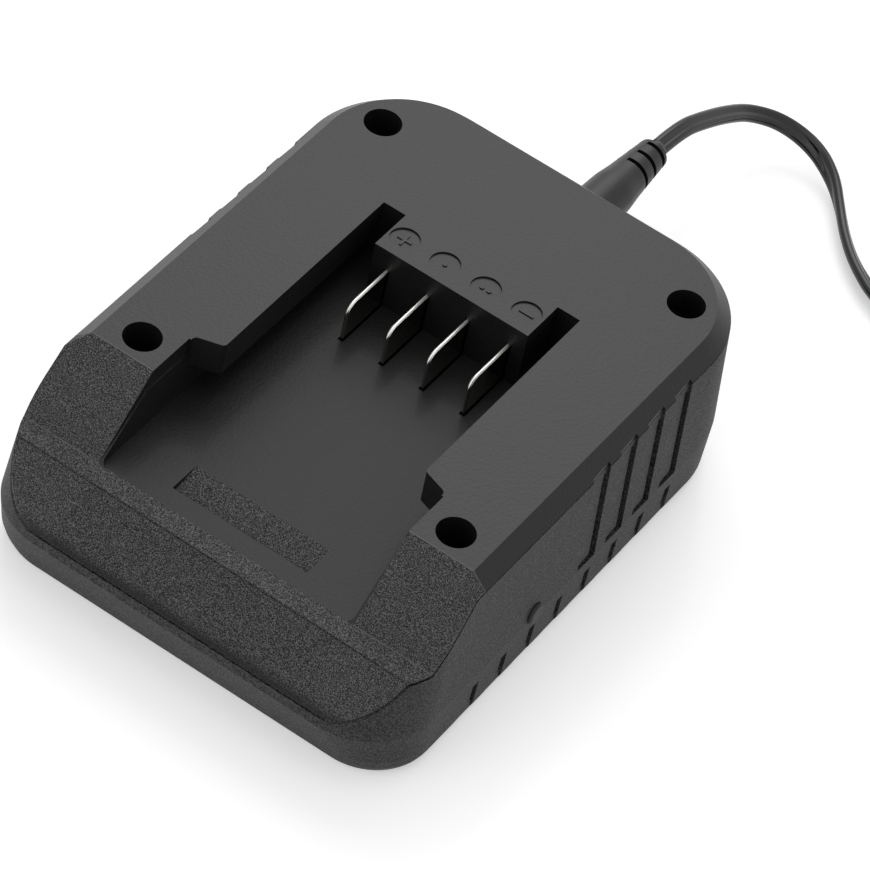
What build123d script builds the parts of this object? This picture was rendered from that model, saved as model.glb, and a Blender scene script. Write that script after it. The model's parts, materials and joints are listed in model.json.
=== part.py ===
from build123d import *
from math import cos, degrees, hypot, pi, radians, sin, tan
import os

os.makedirs("parts", exist_ok=True)

# Battery charger for cordless tools, in millimetres.  +Z is up, the battery slides in from the front
# (-Y) towards the back (+Y), and the origin is on the table under the middle of the case.

# ---- driving dimensions: case ----------------------------------------------------------------
case_width = 107.4  # across the waist, the widest line of the case
case_length = 144.3
case_height = 45.0  # table to the flat top
wall = 2.4
foot_proud = 0.8  # the rubber feet hold the base this far off the table
base_bevel = 2.0  # height of the slanted edge round the base
bevel_tuck = 0.8  # how far that edge runs in
lip_height = 4.6  # height of the steep lip at the foot of the nose
waist_level = 14.0
base_tuck = 0.3  # the lower wall leans in by this at the sides and the back
nose_tuck = 3.6  # and by this at the front, down to the lip
lip_tuck = 1.8
side_draft = 1.4  # the upper wall leans in by this from waist to rim
band = 3.7  # height and width of the slanted band round the top plate
rear_radius = 25.0
foot_radius = 14.0  # of the front corners at the base
waist_radius = 17.5
rim_radius = 23.0

# ---- battery bay -----------------------------------------------------------------------------
bay_depth = 15.75
bay_half = 32.0  # half width of the channel that the battery's rails run in
neck_half = 25.65  # half width between the two flanges
flange_thick = 8.6
flange_inset = 46.85  # from the nose to the flanges
flange_slant = 2.1  # the flange ends run back by this from the outer wall to the neck
flange_round = 1.2
bay_inset = 39.3  # from the rearmost point to the bay's back wall
bay_skin = 2.0
bay_corner = 1.5
apron_run = 9.7  # length of the sloping nose, seen from above
strip_run = 5.2  # length of the flat strip behind it
strip_rise = 0.35  # the strip stands this high above the bay's floor
crease_width = 0.5  # fine groove between nose and strip
ramp_run = 16.14  # length of the ramps beside the bay's mouth
lip_level = 17.7  # parting line across the nose
edge_drop = 0.5  # depth of the cover's edge along ramps, strip and nose
mouth_gap = 0.7  # width of the groove below that edge
tongue_drop = 2.4
tongue_wall = 1.2
seam = 0.35  # gap between the two shells elsewhere
shell_play = 0.1
ledge_drop = 4.2  # step along the walls of the bay's mouth
ledge_step = 0.5

pocket_half = 17.2  # latch pocket in the bay's floor
pocket_inset = 28.5  # from the nose to the pocket's back end
pocket_run = 8.3
pocket_depth = 1.8

# ---- contacts --------------------------------------------------------------------------------
blade_pitch = 10.6
blade_count = 4
blade_thick = 0.8
blade_height = 10.15  # above the bay's floor
blade_reach = 14.6  # in front of the bridge
blade_nose = 3.0
blade_coin = 0.3  # the front edge is pressed thinner by this on both sides
bridge_half = 19.9
bridge_length = 11.55
bridge_skin = 2.0
slot_play = 0.3
dimple_diameter = 7.0
dimple_depth = 0.4
mark_width = 0.6
mark_length = 3.6
mark_rise = 0.25

# ---- screws and feet -------------------------------------------------------------------------
screw_spacing_x = 80.0
screw_inset = 19.3  # rear screws to the rearmost point of the case
screw_front = 37.2  # front screws to the nose
well_diameter = 8.6
well_skin = 2.0
seat_level = 20.5
seat_thick = 2.5
screw_diameter = 3.0
screw_length = 14.0
head_diameter = 6.8
head_height = 2.4
post_diameter = 8.0
thread_play = 0.05
recess_depth = 1.3
foot_diameter = 10.0
foot_thick = 2.0
foot_spacing_x = 80.0
foot_inset = 20.15  # feet to both ends of the case

# ---- vents -----------------------------------------------------------------------------------
vent_pitch = 10.6
vent_inset = 35.2  # from the rearmost point to the first slot
long_vents = 4
short_vents = 8
flute_width = 5.2
flute_depth = 0.65
flute_step = 0.6  # share of the depth that a flute has at its front edge
slot_width = 1.3
flute_foot = 14.2  # level where the long flutes end
foot_slot = 0.7
short_top = 10.4
short_depth = 0.45
short_slot = 1.0

# ---- board and its parts ---------------------------------------------------------------------
board_half = 31.0
board_thick = 1.6
board_level = 14.8
board_front_inset = 46.15  # from the nose to the board
board_back_inset = 6.15
board_corner = 3.0
board_post = 6.0
board_post_x = 54.0
board_post_inset = 3.0
board_screw = 2.5
board_screw_length = 8.0
board_head = 4.6
board_head_height = 1.6
holder_step = 1.65  # the holder ends this far behind the bay's back wall
holder_cap = 1.0  # above and behind the blades' tails
tail_width = 4.0
lead_proud = 1.5  # tails under the board
lamp_diameter = 5.0
lamp_inset = 54.65  # from the nose to the lens
lamp_level = 15.4
lamp_proud = 0.9

# ---- jack, plug and lead ---------------------------------------------------------------------
jack_level = 23.0
jack_width = 9.4
jack_depth = 14.0
jack_nose = 8.4
spot_depth = 1.0
spot_play = 0.8
bore_play = 0.25
spring_width = 2.4
spring_thick = 0.4
barrel_diameter = 5.5
barrel_length = 9.5
barrel_bore = 4.3
barrel_root = 6.0  # length of the barrel inside the grip
contact_bore = 2.5
contact_wall = 0.3
pin_diameter = 2.0
grip_diameter = 12.8
waist_diameter = 11.0
neck_diameter = 9.8
shoulder_diameter = 7.5
tip_diameter = 4.6
grip_length = 20.0
neck_length = 4.4
neck_round = 20.0
relief_length = 12.65
tip_length = 2.55
relief_slots = 3
relief_pitch = 4.1
relief_slot = 1.2
relief_start = 2.3
relief_core = 5.8
relief_bridge = 30.0  # degrees of rib left between two slots
relief_twist = -33.0
plug_gap = 0.3
cord_diameter = 3.8
coil_turns_wide = 3
coil_turns_high = 4
coil_middle = 42.0  # across the middle of the turns
coil_centre = (103.0, 117.0)
coil_slack = 0.2  # the turns lie loosely
coil_tail = 21.0  # straight lead at both ends of the coil
coil_entry = 25.0  # direction of the lead where it comes in, in the plan
coil_exit = -75.0  # and where it goes on to the adapter
cord_approach = 9.5
bend_share = 0.45  # of the shorter run that a bend may take up
cord_points = [  # free stretch of lead behind the charger, lying on the table after the bend
    (1.1, 129.6, 21.2),
    (2.6, 138.8, 17.8),
    (4.8, 147.0, 13.8),
    (10.0, 153.2, 9.2),
    (18.2, 154.0, 5.3),
    (26.0, 149.7, 3.3),
    (32.9, 143.3, 2.6),
    (39.4, 136.3, 2.5),
    (46.8, 130.7, 2.6),
    (56.0, 124.4, 2.8),
]
tie_width = 6.0
tie_thick = 0.8
tie_angle = 60.0

# ---- wall adapter ----------------------------------------------------------------------------
adapter_length = 62.0
adapter_width = 42.0
adapter_height = 28.0
adapter_split = 9.0  # height of its cover
adapter_corner = 6.0
adapter_round = 2.5
adapter_draft = 2.0
adapter_relief_length = 18.0
adapter_relief_foot = 9.0
adapter_relief_tip = 5.6
adapter_relief_root = 4.0
mains_pitch = 18.6
mains_diameter = 4.0
mains_length = 19.0
mains_collar = 6.0  # thicker root inside the case
mains_root = 5.0
mains_station = 40.0  # from the lead's end of the adapter

# ---- worked out ------------------------------------------------------------------------------
front = -case_length / 2
rear = case_length / 2
rim_level = case_height - band
bevel_level = foot_proud + base_bevel
nose_level = foot_proud + lip_height
bay_floor = case_height - bay_depth
strip_level = bay_floor + strip_rise
strip_edge = front + apron_run
ramp_foot = strip_edge + strip_run
ramp_top = ramp_foot + ramp_run
ramp_slope = (case_height - strip_level) / ramp_run
lip_top = lip_level + seam
apron_slope = (strip_level - lip_top) / apron_run
flange_front = front + flange_inset
pocket_back = front + pocket_inset
lamp_station = front + lamp_inset
board_front = front + board_front_inset
bay_back = rear - bay_inset
bridge_front = bay_back - bridge_length
holder_back = bay_back + holder_step
vent_first = rear - vent_inset
board_back = rear - board_back_inset
board_post_y = board_back - board_front - 2 * board_post_inset
foot_spacing_y = case_length - 2 * foot_inset
plate_inside = case_height - wall
beyond = 10.0  # how far cutting shapes reach past the case
screw_spacing_y = case_length - screw_front - screw_inset
screw_centre = rear - screw_inset - screw_spacing_y / 2
lean = side_draft / (rim_level - waist_level)
low_lean = base_tuck / (waist_level - bevel_level)

# (level, tuck at the sides and the back, tuck at the nose, radius of the front corners)
case_levels = [
    (foot_proud, base_tuck + bevel_tuck, nose_tuck + lip_tuck, foot_radius),
    (bevel_level, base_tuck, nose_tuck + lip_tuck * (1 - base_bevel / lip_height), foot_radius),
    (nose_level, low_lean * (waist_level - nose_level), nose_tuck, foot_radius),
    (waist_level, 0, 0, waist_radius),
    (rim_level, side_draft, 0, rim_radius),
]


def case_section(level, tuck, nose, front_radius, inset=0.0):
    """Outline of the case at one level, moved in by a tuck, a nose tuck and an inset."""
    half_width = case_width / 2 - tuck - inset
    back = rear - tuck - inset
    nose_end = front + nose + inset
    with BuildSketch(Plane.XY.offset(level)) as section:
        with Locations((0, (back + nose_end) / 2)):
            Rectangle(2 * half_width, back - nose_end)
        fillet(section.vertices().group_by(Axis.Y)[0], front_radius - inset)
        fillet(section.vertices().group_by(Axis.Y)[-1], rear_radius - inset)
    return section.sketch


def side_shape(points):
    """Closed shape in the side view, from (y, z) points."""
    with BuildSketch(Plane.YZ) as shape:
        with BuildLine():
            Polyline(*points, close=True)
        make_face()
    return shape.sketch


def above_top(drop=0.0):
    """All that lies above the ramps, the strip and the nose, or above a skin of that thickness."""
    ramp_drop = drop * hypot(1, ramp_slope)
    apron_drop = drop * hypot(1, apron_slope)
    return side_shape([
        (ramp_top + (ramp_drop - drop) / ramp_slope, case_height - drop),
        (ramp_foot + (ramp_drop - drop) / ramp_slope, strip_level - drop),
        (strip_edge + (apron_drop - drop) / apron_slope, strip_level - drop),
        (front, lip_top - apron_drop),
        (front - beyond, lip_top - apron_drop),
        (front - beyond, case_height + beyond),
        (rear + beyond if drop else ramp_top, case_height + beyond),
        (rear + beyond if drop else ramp_top, case_height - drop),
    ])


def below_parting(drop=0.0, gap=0.0):
    """All under the parting line, or under one lower by a drop and, at the mouth, set off by a gap."""
    depth = edge_drop + gap
    ramp_drop = depth * hypot(1, ramp_slope)
    apron_drop = depth * hypot(1, apron_slope)
    edge_level = strip_level - depth
    lip_edge = lip_level - drop - gap
    return side_shape([
        (rear + beyond, rim_level - drop),
        (ramp_top - (case_height - ramp_drop - rim_level + drop) / ramp_slope, rim_level - drop),
        (ramp_foot + (ramp_drop - depth) / ramp_slope, edge_level),
        (strip_edge + (apron_drop - depth) / apron_slope, edge_level),
        (strip_edge - (strip_level - apron_drop - lip_edge) / apron_slope, lip_edge),
        (front - beyond, lip_edge),
        (front - beyond, -beyond),
        (rear + beyond, -beyond),
    ])


def case_inside(inset):
    """Solid that the case's inner face bounds, moved in by an inset and open at the top."""
    sections = [case_section(*level, inset=inset) for level in case_levels[1:]]
    with BuildPart() as inside:
        loft(sections, ruled=True)
        extrude(case_section(*case_levels[-1], inset=inset), amount=band + beyond)
    return inside.part


# ---- shapes that both shells share -----------------------------------------------------------
with BuildPart() as case_block:
    loft([case_section(*level) for level in case_levels], ruled=True)
    extrude(case_section(*case_levels[-1]), amount=band, taper=45)
    extrude(above_top(), amount=case_width, both=True, mode=Mode.SUBTRACT)

with BuildPart() as cover_tongue:
    add(case_inside(wall + shell_play))
    extrude(below_parting(tongue_drop, tongue_drop), amount=case_width, both=True, mode=Mode.SUBTRACT)
    add(case_block.part, mode=Mode.INTERSECT)

with BuildPart() as cover_void:
    add(case_inside(wall + shell_play + tongue_wall))
    extrude(above_top(wall), amount=case_width, both=True, mode=Mode.SUBTRACT)

# One side's flutes: upright channels that deepen towards a slot along their back.  The long ones
# have a slot along their foot too, and the short ones run out through the base.
wall_plane = Plane(
    origin=(case_width / 2, 0, waist_level), x_dir=(0, 1, 0), z_dir=(1, 0, lean)
)
low_plane = Plane(
    origin=(case_width / 2, 0, waist_level), x_dir=(0, 1, 0), z_dir=(1, 0, -low_lean)
)


def flute(face, bottom, top, depth, slot):
    """Channel up a wall's face, from its slot's back edge forward, deepest at the slot."""
    lower_end = Plane(origin=face.from_local_coords((0, bottom, 0)), x_dir=face.x_dir, z_dir=face.y_dir)
    with BuildPart() as channel:
        with BuildSketch(lower_end):
            with BuildLine():
                Polyline(
                    (-slot - flute_width, flute_step * depth),
                    (-slot, depth),
                    (0, depth),
                    (0, -depth),
                    (-slot - flute_width, -depth),
                    close=True,
                )
            make_face()
        extrude(amount=top - bottom)
    return channel.part


flute_bottom = flute_foot - waist_level
flute_top = rim_level - waist_level
with BuildPart() as side_flutes:
    for vent in range(long_vents):
        slot_back = vent_first - vent * vent_pitch + slot_width / 2
        with Locations((0, slot_back, 0)):
            add(flute(wall_plane, flute_bottom, flute_top + band, flute_depth, slot_width))
        with BuildSketch(wall_plane):
            with Locations((slot_back, flute_bottom)):
                Rectangle(slot_width, flute_top - flute_bottom - wall, align=(Align.MAX, Align.MIN))
                Rectangle(slot_width + flute_width, foot_slot, align=(Align.MAX, Align.MIN))
        extrude(amount=-2 * wall)
    for vent in range(short_vents):
        slot_back = vent_first - vent * vent_pitch + short_slot / 2
        with Locations((0, slot_back, 0)):
            add(flute(low_plane, -waist_level, short_top - waist_level, short_depth, short_slot))
        with BuildSketch(low_plane):
            with Locations((slot_back, short_top - waist_level)):
                Rectangle(short_slot, short_top - bevel_level - slot_width, align=(Align.MAX, Align.MAX))
        extrude(amount=-2 * wall)

# ---- top cover -------------------------------------------------------------------------------
with BuildPart() as top_cover:
    add(case_block.part)
    extrude(below_parting(), amount=case_width, both=True, mode=Mode.SUBTRACT)
    add(cover_tongue.part)
    add(cover_void.part, mode=Mode.SUBTRACT)
    # tub round the bay, with a pad under the latch pocket
    with BuildSketch(Plane.XY.offset(bay_floor - wall)):
        with Locations((0, bay_back + bay_skin)):
            Rectangle(
                2 * (bay_half + bay_skin),
                bay_back + bay_skin - ramp_foot,
                align=(Align.CENTER, Align.MAX),
            )
    extrude(amount=bay_depth + wall)
    with BuildSketch(Plane.XY.offset(bay_floor - wall - pocket_depth)):
        with Locations((0, pocket_back - pocket_run / 2)):
            Rectangle(2 * (pocket_half + bay_skin), pocket_run + 2 * bay_skin)
    extrude(amount=pocket_depth)
    # towers that the cover screws sink into
    with BuildSketch(Plane.XY.offset(seat_level - seat_thick)):
        with Locations((0, screw_centre)):
            with GridLocations(screw_spacing_x, screw_spacing_y, 2, 2):
                Circle(well_diameter / 2 + well_skin)
    extrude(amount=plate_inside + wall / 2 - seat_level + seat_thick)
    extrude(above_top(), amount=case_width, both=True, mode=Mode.SUBTRACT)
    # channel for the battery's rails, and the neck between the flanges
    with BuildSketch(Plane.XY.offset(bay_floor)) as channel:
        with Locations((0, bay_back)):
            Rectangle(2 * bay_half, bay_back - ramp_foot, align=(Align.CENTER, Align.MAX))
        fillet(channel.vertices().group_by(Axis.Y)[0], bay_corner)
        with Locations((0, bridge_front)):
            Rectangle(2 * bridge_half, bay_back, align=(Align.CENTER, Align.MIN), mode=Mode.SUBTRACT)
    extrude(amount=bay_depth - flange_thick, mode=Mode.SUBTRACT)
    with BuildSketch(Plane.XY.offset(case_height - flange_thick)) as neck:
        with BuildLine():
            Polyline(
                (-bay_half, front),
                (-bay_half, flange_front - flange_slant),
                (-neck_half, flange_front),
                (-neck_half, bay_back),
                (neck_half, bay_back),
                (neck_half, flange_front),
                (bay_half, flange_front - flange_slant),
                (bay_half, front),
                close=True,
            )
        make_face()
        flange_ends = neck.vertices().filter_by_position(
            Axis.Y, flange_front - flange_slant - 1, flange_front + 1
        )
        fillet(flange_ends, flange_round)
        with Locations((0, bridge_front)):
            Rectangle(2 * bridge_half, bay_back, align=(Align.CENTER, Align.MIN), mode=Mode.SUBTRACT)
    extrude(amount=flange_thick, mode=Mode.SUBTRACT)
    # step along the walls of the bay's mouth
    with BuildSketch(Plane.YZ.offset(-bay_half - ledge_step)):
        with BuildLine():
            Polyline(
                (flange_front - flange_slant - flange_round, case_height - ledge_drop),
                (ramp_top - ledge_drop / 2, case_height - ledge_drop),
                (ramp_foot, strip_level),
                (ramp_foot, case_height),
                (flange_front - flange_slant - flange_round, case_height),
                close=True,
            )
        make_face()
    extrude(amount=2 * (bay_half + ledge_step), mode=Mode.SUBTRACT)
    # fine groove between nose and strip
    extrude(
        side_shape([
            (strip_edge + crease_width / 2, strip_level + crease_width),
            (strip_edge + crease_width / 2, strip_level),
            (strip_edge, strip_level - crease_width),
            (strip_edge - crease_width / 2, strip_level),
            (strip_edge - crease_width / 2, strip_level + crease_width),
        ]),
        amount=case_width / 2,
        both=True,
        mode=Mode.SUBTRACT,
    )
    # latch pocket, deepest at its front end
    with BuildSketch(Plane.YZ):
        with BuildLine():
            Polyline(
                (pocket_back, bay_floor),
                (pocket_back - pocket_run, bay_floor - pocket_depth),
                (pocket_back - pocket_run, bay_floor),
                close=True,
            )
        make_face()
    extrude(amount=pocket_half, both=True, mode=Mode.SUBTRACT)
    # hollow bridge, with slots for the blades that run on through the floor
    with BuildSketch(Plane.XY.offset(bay_floor - 2 * wall)):
        with Locations((0, bridge_front + bridge_skin)):
            Rectangle(
                2 * (bridge_half - bridge_skin),
                bay_back - bridge_front + bay_skin,
                align=(Align.CENTER, Align.MIN),
            )
    extrude(amount=bay_depth + wall, mode=Mode.SUBTRACT)
    with BuildSketch(Plane.XY.offset(bay_floor - 2 * wall)):
        with Locations((0, bridge_front + bridge_skin)):
            with GridLocations(blade_pitch, 1, blade_count, 1):
                Rectangle(
                    blade_thick + 2 * slot_play,
                    blade_reach + bridge_skin + slot_play,
                    align=(Align.CENTER, Align.MAX),
                )
    extrude(amount=2 * wall + blade_height + slot_play, mode=Mode.SUBTRACT)
    # dimples on the bridge, with raised marks for the contacts
    dimple_station = (bridge_front + bay_back) / 2 - slot_play
    with BuildSketch(Plane.XY.offset(case_height)):
        with Locations((0, dimple_station)):
            with GridLocations(blade_pitch, 1, blade_count, 1):
                Circle(dimple_diameter / 2)
    extrude(amount=-dimple_depth, mode=Mode.SUBTRACT)
    with BuildSketch(Plane.XY.offset(case_height - dimple_depth)):
        with Locations((-1.5 * blade_pitch, dimple_station)):
            Rectangle(mark_length, mark_width)
            Rectangle(mark_width, mark_length)
        with Locations((-0.5 * blade_pitch, dimple_station)):
            Circle(mark_width)
        with Locations((0.5 * blade_pitch, dimple_station)):
            with GridLocations(3 * mark_width, 1, 2, 1):
                Circle(mark_width)
        with Locations((1.5 * blade_pitch, dimple_station)):
            Rectangle(mark_length, mark_width)
    extrude(amount=mark_rise)
    # screw wells
    with Locations((0, screw_centre, case_height)):
        with GridLocations(screw_spacing_x, screw_spacing_y, 2, 2):
            CounterBoreHole(
                radius=screw_diameter / 2 + shell_play,
                counter_bore_radius=well_diameter / 2,
                counter_bore_depth=case_height - seat_level,
                depth=case_height,
            )
    add(side_flutes.part, mode=Mode.SUBTRACT)
    add(mirror(side_flutes.part, about=Plane.YZ, mode=Mode.PRIVATE), mode=Mode.SUBTRACT)
top_cover.part.label = "top_cover"
export_step(top_cover.part, "parts/top_cover.step")

# ---- bottom housing --------------------------------------------------------------------------
lamp_plane = Plane(
    origin=(case_width / 2 - lean * (lamp_level - waist_level), lamp_station, lamp_level),
    x_dir=(0, 1, 0),
    z_dir=(1, 0, lean),
)
spot_station = rear - spot_depth
rear_plane = Plane.XZ.offset(-spot_station)
boss_top = seat_level - seat_thick
recess_top = foot_proud + recess_depth - shell_play
board_top = board_level + board_thick
board_middle = (board_front + board_back) / 2
grip_face = spot_station + plug_gap

with BuildPart() as bottom_housing:
    add(case_block.part)
    extrude(below_parting(seam, mouth_gap), amount=case_width, both=True, mode=Mode.INTERSECT)
    add(case_inside(wall), mode=Mode.SUBTRACT)
    # bosses for the cover screws, and posts for the board
    with BuildSketch(Plane.XY.offset(bevel_level)):
        with Locations((0, screw_centre)):
            with GridLocations(screw_spacing_x, screw_spacing_y, 2, 2):
                Circle(post_diameter / 2)
    extrude(amount=boss_top - bevel_level)
    with BuildSketch(Plane.XY.offset(bevel_level)):
        with Locations((0, board_middle)):
            with GridLocations(board_post_x, board_post_y, 2, 2):
                Circle(board_post / 2)
    extrude(amount=board_level - bevel_level)
    with Locations((0, screw_centre, boss_top)):
        with GridLocations(screw_spacing_x, screw_spacing_y, 2, 2):
            Hole(radius=screw_diameter / 2 + thread_play, depth=screw_length - seat_thick + thread_play)
    with Locations((0, board_middle, board_level)):
        with GridLocations(board_post_x, board_post_y, 2, 2):
            Hole(
                radius=board_screw / 2 + thread_play,
                depth=board_screw_length - board_thick + thread_play,
            )
    # opening for the jack in a flat seat, the lamp's hole and the seats of the feet
    with BuildSketch(rear_plane):
        with Locations((0, jack_level)):
            Circle(grip_diameter / 2 + spot_play)
    extrude(amount=-beyond, mode=Mode.SUBTRACT)
    with BuildSketch(rear_plane):
        with Locations((0, jack_level)):
            Circle(jack_nose / 2 + shell_play)
    extrude(amount=2 * wall, mode=Mode.SUBTRACT)
    with BuildSketch(lamp_plane):
        Circle(lamp_diameter / 2 + shell_play)
    extrude(amount=2 * wall, both=True, mode=Mode.SUBTRACT)
    with BuildSketch(Plane.XY.offset(foot_proud)):
        with GridLocations(foot_spacing_x, foot_spacing_y, 2, 2):
            Circle(foot_diameter / 2 + shell_play)
    extrude(amount=foot_thick - foot_proud, mode=Mode.SUBTRACT)
    add(side_flutes.part, mode=Mode.SUBTRACT)
    add(mirror(side_flutes.part, about=Plane.YZ, mode=Mode.PRIVATE), mode=Mode.SUBTRACT)
bottom_housing.part.label = "bottom_housing"
export_step(bottom_housing.part, "parts/bottom_housing.step")


# ---- screws and feet -------------------------------------------------------------------------
def pan_screw(diameter, length, head, head_rise):
    """Self-tapping screw with a pan head and a cross recess, its head seated on XY."""
    with BuildPart() as screw:
        with BuildSketch(Plane.XZ):
            with BuildLine():
                Polyline(
                    (0, head_rise),
                    (head / 4, head_rise),
                    (head / 2, head_rise / 2),
                    (head / 2, 0),
                    (diameter / 2, 0),
                    (diameter / 2, diameter / 2 - length),
                    (0, -length),
                    close=True,
                )
            make_face()
        revolve(axis=Axis.Z)
        with BuildSketch(Plane.XY.offset(head_rise)):
            Rectangle(head / 2, head / 8)
            Rectangle(head / 8, head / 2)
        extrude(amount=-head_rise / 2, mode=Mode.SUBTRACT)
    return screw.part


with BuildPart() as cover_screws:
    with Locations((0, screw_centre, seat_level)):
        with GridLocations(screw_spacing_x, screw_spacing_y, 2, 2):
            add(pan_screw(screw_diameter, screw_length, head_diameter, head_height))
cover_screws.part.label = "cover_screws"
export_step(cover_screws.part, "parts/cover_screws.step")

with BuildPart() as board_screws:
    with Locations((0, board_middle, board_top)):
        with GridLocations(board_post_x, board_post_y, 2, 2):
            add(pan_screw(board_screw, board_screw_length, board_head, board_head_height))
board_screws.part.label = "board_screws"
export_step(board_screws.part, "parts/board_screws.step")

with BuildPart() as rubber_feet:
    with BuildSketch():
        with GridLocations(foot_spacing_x, foot_spacing_y, 2, 2):
            Circle(foot_diameter / 2)
    extrude(amount=foot_thick)
    chamfer(rubber_feet.edges().group_by(Axis.Z)[0], foot_proud / 2)
rubber_feet.part.label = "rubber_feet"
export_step(rubber_feet.part, "parts/rubber_feet.step")

# ---- blades and their holder -----------------------------------------------------------------
blade_top = bay_floor + blade_height
blade_tip = bridge_front - blade_reach
tail_back = holder_back - holder_cap - shell_play
holder_front = bridge_front + bridge_skin + shell_play

with BuildPart() as terminal_holder:
    extrude(
        side_shape([
            (holder_front, board_top),
            (holder_front, blade_top + holder_cap),
            (holder_back, blade_top + holder_cap),
            (holder_back, board_top + holder_cap + tail_width),
            (holder_back + tail_width, board_top + holder_cap),
            (holder_back + tail_width, board_top),
        ]),
        amount=bridge_half - bridge_skin - 2 * shell_play,
        both=True,
    )
    with BuildSketch(Plane.XZ.offset(-tail_back - shell_play)):
        with Locations((0, board_top)):
            with GridLocations(blade_pitch, 1, blade_count, 1):
                Rectangle(
                    blade_thick + 2 * shell_play,
                    2 * (blade_top + shell_play - board_top),
                )
    extrude(amount=tail_back - holder_front + 2 * shell_play, mode=Mode.SUBTRACT)
terminal_holder.part.label = "terminal_holder"
export_step(terminal_holder.part, "parts/terminal_holder.step")

blade_names = ["positive_blade", "charge_blade", "signal_blade", "negative_blade"]
blade_stations = [(place - (blade_count - 1) / 2) * blade_pitch for place in range(blade_count)]
for blade_name, station in zip(blade_names, blade_stations):
    with BuildPart() as blade:
        with BuildSketch(Plane.YZ.offset(station)) as blade_side:
            with BuildLine():
                Polyline(
                    (blade_tip, bay_floor),
                    (blade_tip, blade_top),
                    (tail_back, blade_top),
                    (tail_back, board_level - lead_proud),
                    (tail_back - tail_width, board_level - lead_proud),
                    (tail_back - tail_width, bay_floor),
                    close=True,
                )
            make_face()
            fillet(blade_side.vertices().sort_by_distance((blade_tip, blade_top, 0))[0], blade_nose)
        extrude(amount=blade_thick / 2, both=True)
        nose_edges = blade.edges().filter_by(Axis.X, reverse=True)
        chamfer(nose_edges.filter_by_position(Axis.Y, blade_tip - 1, blade_tip + 1), blade_coin)
    blade.part.label = blade_name
    export_step(blade.part, f"parts/{blade_name}.step")

# ---- circuit board ---------------------------------------------------------------------------
with BuildPart() as circuit_board:
    with BuildSketch(Plane.XY.offset(board_level)) as board_outline:
        with Locations((0, board_middle)):
            Rectangle(2 * board_half, board_back - board_front)
        fillet(board_outline.vertices(), board_corner)
        with Locations((0, board_middle)):
            with GridLocations(board_post_x, board_post_y, 2, 2):
                Circle(board_screw / 2 + shell_play, mode=Mode.SUBTRACT)
        with Locations((0, tail_back - tail_width / 2)):
            with GridLocations(blade_pitch, 1, blade_count, 1):
                Rectangle(
                    blade_thick + 2 * shell_play,
                    tail_width + 2 * shell_play,
                    mode=Mode.SUBTRACT,
                )
    extrude(amount=board_thick)
circuit_board.part.label = "circuit_board"
export_step(circuit_board.part, "parts/circuit_board.step")


# ---- parts on the board ----------------------------------------------------------------------
def turned(plane, axis, *points):
    """Solid of revolution from (along, out) points on a plane that holds the axis."""
    with BuildPart() as solid:
        with BuildSketch(plane):
            with BuildLine():
                Polyline(*points, close=True)
            make_face()
        revolve(axis=axis)
    return solid.part


sink_front = holder_back + tail_width
sink_length = 20.0
sink_station = -19.0
sink_thick = 3.0
sink_height = 22.0
fin_reach = 8.0
fin_thick = 1.2
fin_count = 6
with BuildPart() as heat_sink:
    with BuildSketch(Plane.XY.offset(board_top)):
        with Locations((sink_station, sink_front)):
            Rectangle(sink_thick, sink_length, align=(Align.CENTER, Align.MIN))
        with Locations((sink_station, sink_front + sink_length / 2)):
            with GridLocations(1, (sink_length - fin_thick) / (fin_count - 1), 1, fin_count):
                Rectangle(sink_thick / 2 + fin_reach, fin_thick, align=(Align.MAX, Align.CENTER))
    extrude(amount=sink_height)
heat_sink.part.label = "heat_sink"
export_step(heat_sink.part, "parts/heat_sink.step")

tab_width = 10.2
tab_height = 15.6
tab_thick = 1.3
die_height = 9.0
die_thick = 4.4
leg_length = 3.5
leg_width = 0.8
leg_pitch = 2.54
transistor_middle = sink_front + sink_length / 2
with BuildPart() as power_transistor:
    with BuildSketch(Plane.YZ.offset(sink_station + sink_thick / 2)):
        with Locations((transistor_middle, board_top + leg_length)):
            Rectangle(tab_width, tab_height, align=(Align.CENTER, Align.MIN))
        with Locations((transistor_middle, board_top + leg_length + (tab_height + die_height) / 2)):
            Circle(tab_width / 6, mode=Mode.SUBTRACT)
    extrude(amount=tab_thick)
    with BuildSketch(Plane.YZ.offset(sink_station + sink_thick / 2)):
        with Locations((transistor_middle, board_top + leg_length)):
            Rectangle(tab_width, die_height, align=(Align.CENTER, Align.MIN))
    extrude(amount=die_thick)
    with BuildSketch(Plane.YZ.offset(sink_station + sink_thick / 2 + die_thick / 2)):
        with Locations((transistor_middle, board_top + leg_length / 2)):
            with GridLocations(leg_pitch, 1, 3, 1):
                Rectangle(leg_width, leg_length)
    extrude(amount=leg_width / 2)
power_transistor.part.label = "power_transistor"
export_step(power_transistor.part, "parts/power_transistor.step")

can_diameter = 12.5
can_height = 20.0
can_groove = 0.5
can_groove_level = 3.0
can_inset = 18.15  # rear can to the rearmost point of the case
can_step = 8.0
can_spots = [(13.5, rear - can_inset - can_step), (24.0, rear - can_inset)]
can_radius = can_diameter / 2
can = turned(
    Plane.XZ,
    Axis.Z,
    (0, 0),
    (can_radius - can_groove, 0),
    (can_radius, can_groove),
    (can_radius, can_groove_level - can_groove),
    (can_radius - can_groove, can_groove_level),
    (can_radius, can_groove_level + can_groove),
    (can_radius, can_height - can_groove),
    (can_radius - can_groove, can_height),
    (can_radius - 2 * can_groove, can_height - can_groove),
    (0, can_height - can_groove),
)
with BuildPart() as filter_capacitors:
    with Locations(Plane.XY.offset(board_top)):
        with Locations(*can_spots):
            add(can)
filter_capacitors.part.label = "filter_capacitors"
export_step(filter_capacitors.part, "parts/filter_capacitors.step")

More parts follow.
